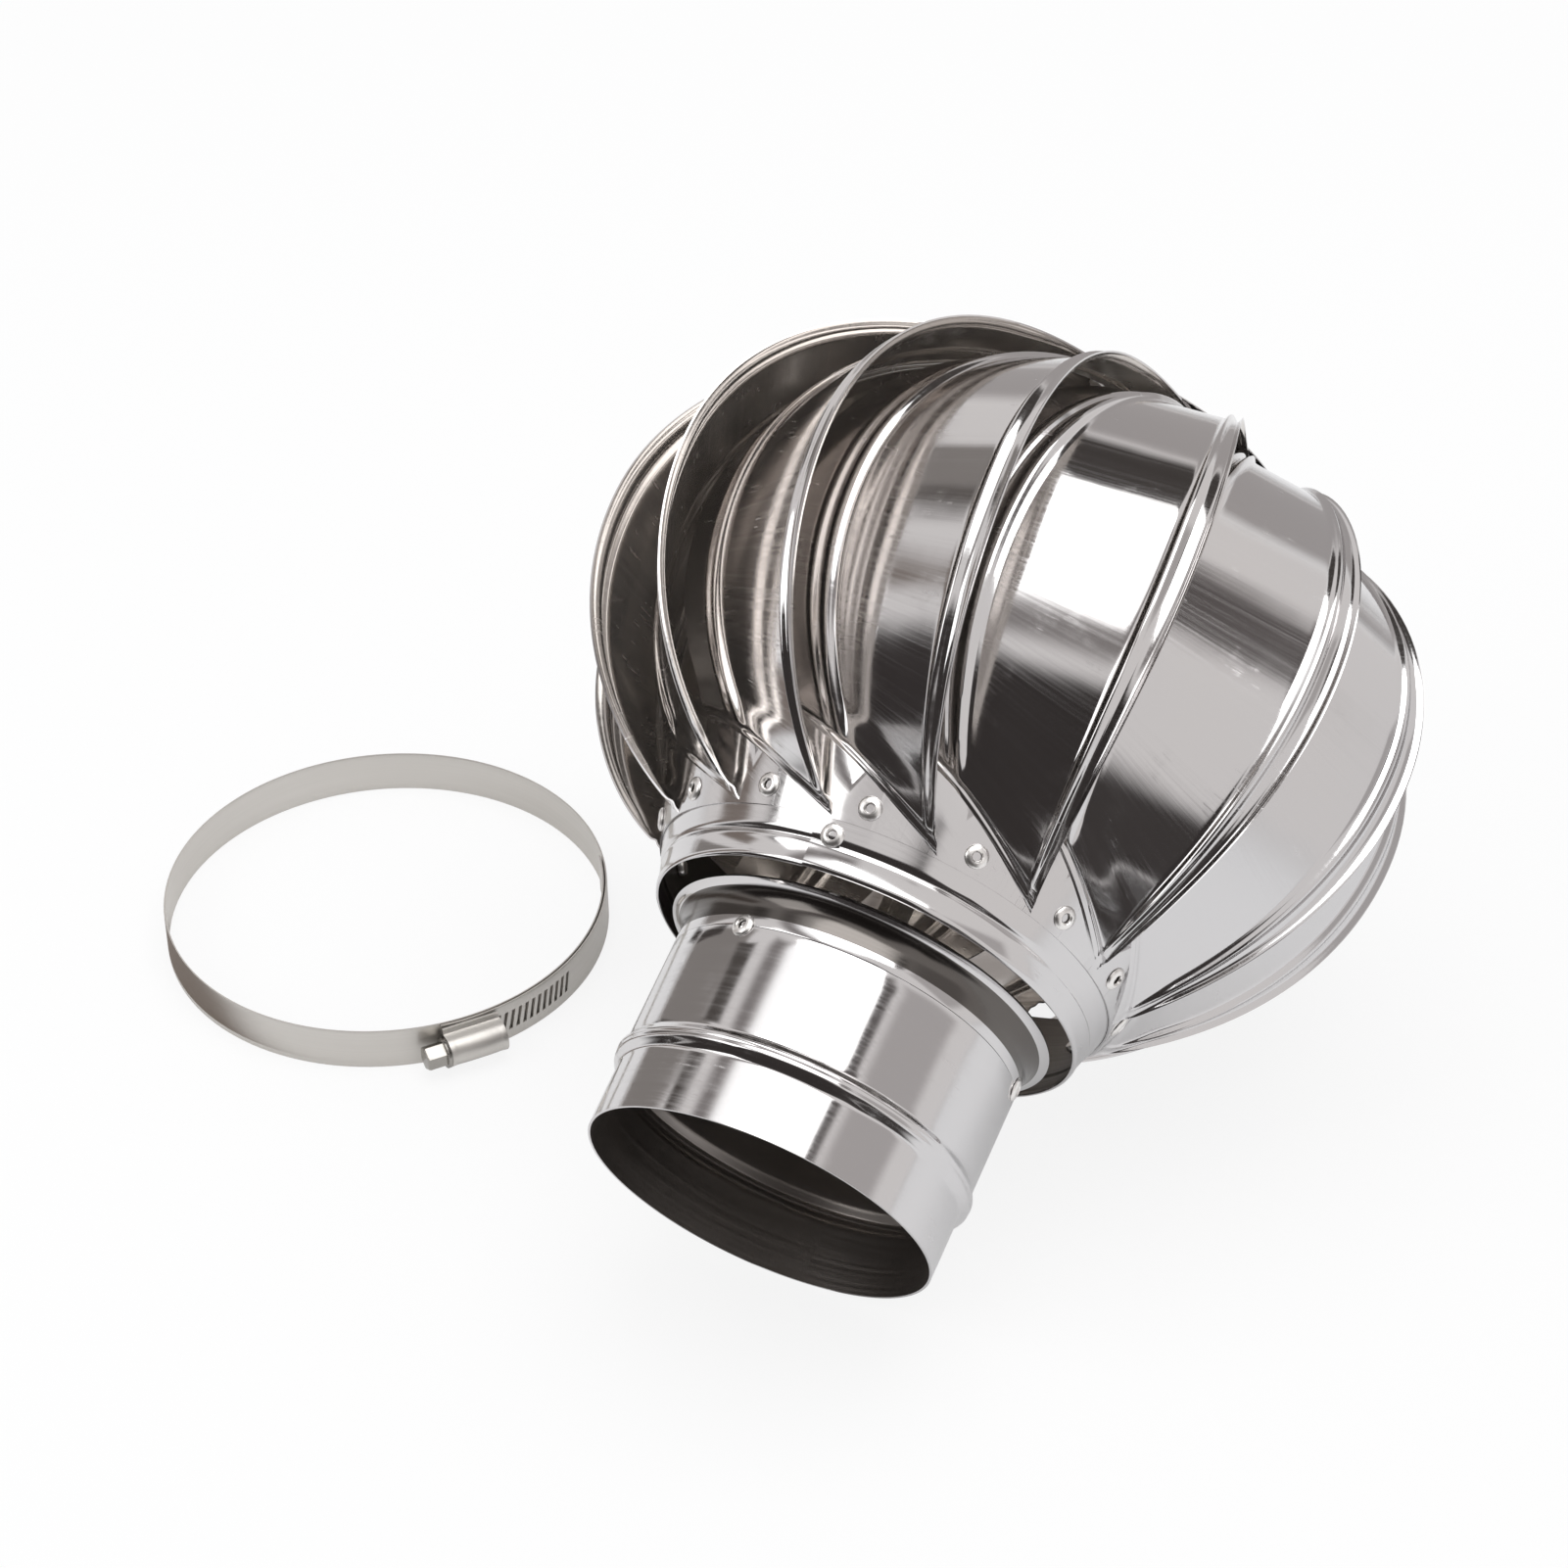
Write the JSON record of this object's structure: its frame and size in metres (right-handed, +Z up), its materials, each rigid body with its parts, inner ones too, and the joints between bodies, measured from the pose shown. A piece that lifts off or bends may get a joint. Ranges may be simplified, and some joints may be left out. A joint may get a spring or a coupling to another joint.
{
  "type": "roof turbine ventilator",
  "caption": "Stainless steel roof turbine ventilator: curved-vane turbine that spins on a flue tube, with a loose worm-drive band clamp beside it.",
  "frame": {"origin": "centre of the tube's open mouth, where the flue spigot ends", "axes": "+Z up as the ventilator lies in storage, +X the heading of the turbine's axis seen from above, +Y toward the loose clamp"},
  "size_m": [0.3228, 0.44, 0.2752],
  "materials": {
    "polished_sheet": "bright rolled",
    "mill_steel": "mill",
    "rivet_steel": "bright",
    "bearing_steel": "ground",
    "zinc_steel": "zinc plated",
    "clamp_steel": "satin"
  },
  "bodies": {
    "base": {"base_tube": "polished_sheet", "support_spider": "mill_steel", "spider_rivets": "rivet_steel", "shaft": "mill_steel", "spider_washer": "zinc_steel", "spider_nut": "zinc_steel", "lower_bearing_inner_ring": "bearing_steel", "upper_bearing_inner_ring": "bearing_steel", "bearing_spacer": "bearing_steel", "top_spacer": "bearing_steel", "top_nut": "zinc_steel"},
    "rotor": {"rotor_collar": "polished_sheet", "collar_seam_rivet": "rivet_steel", "vane_01": "polished_sheet", "vane_02": "polished_sheet", "vane_03": "polished_sheet", "vane_04": "polished_sheet", "vane_05": "polished_sheet", "vane_06": "polished_sheet", "vane_07": "polished_sheet", "vane_08": "polished_sheet", "vane_09": "polished_sheet", "vane_10": "polished_sheet", "vane_11": "polished_sheet", "vane_12": "polished_sheet", "vane_13": "polished_sheet", "vane_14": "polished_sheet", "vane_lower_rivets": "rivet_steel", "vane_upper_rivets": "rivet_steel", "crown_disc": "polished_sheet", "bearing_hub": "mill_steel", "hub_rivets": "rivet_steel", "weather_plug": "mill_steel", "lower_bearing_outer_ring": "bearing_steel", "upper_bearing_outer_ring": "bearing_steel"},
    "clamp": {"clamp_band": "clamp_steel", "clamp_housing": "clamp_steel"},
    "worm": {"worm_screw": "clamp_steel"}
  },
  "joints": [
    {"name": "rotor_spin", "type": "hinge", "parent": "base", "child": "rotor", "pos_m": [0, 0, 0], "axis": [0.9131, 0, 0.4077], "continuous": true},
    {"name": "clamp_lift", "type": "slide", "parent": "base", "child": "clamp", "axis": [0, 0, 1], "range_m": [0, 0.3]},
    {"name": "worm_turn", "type": "hinge", "parent": "clamp", "child": "worm", "pos_m": [0.07574, 0.14979, -0.04679], "axis": [-0.788, 0.6157, 0], "continuous": true}
  ]
}
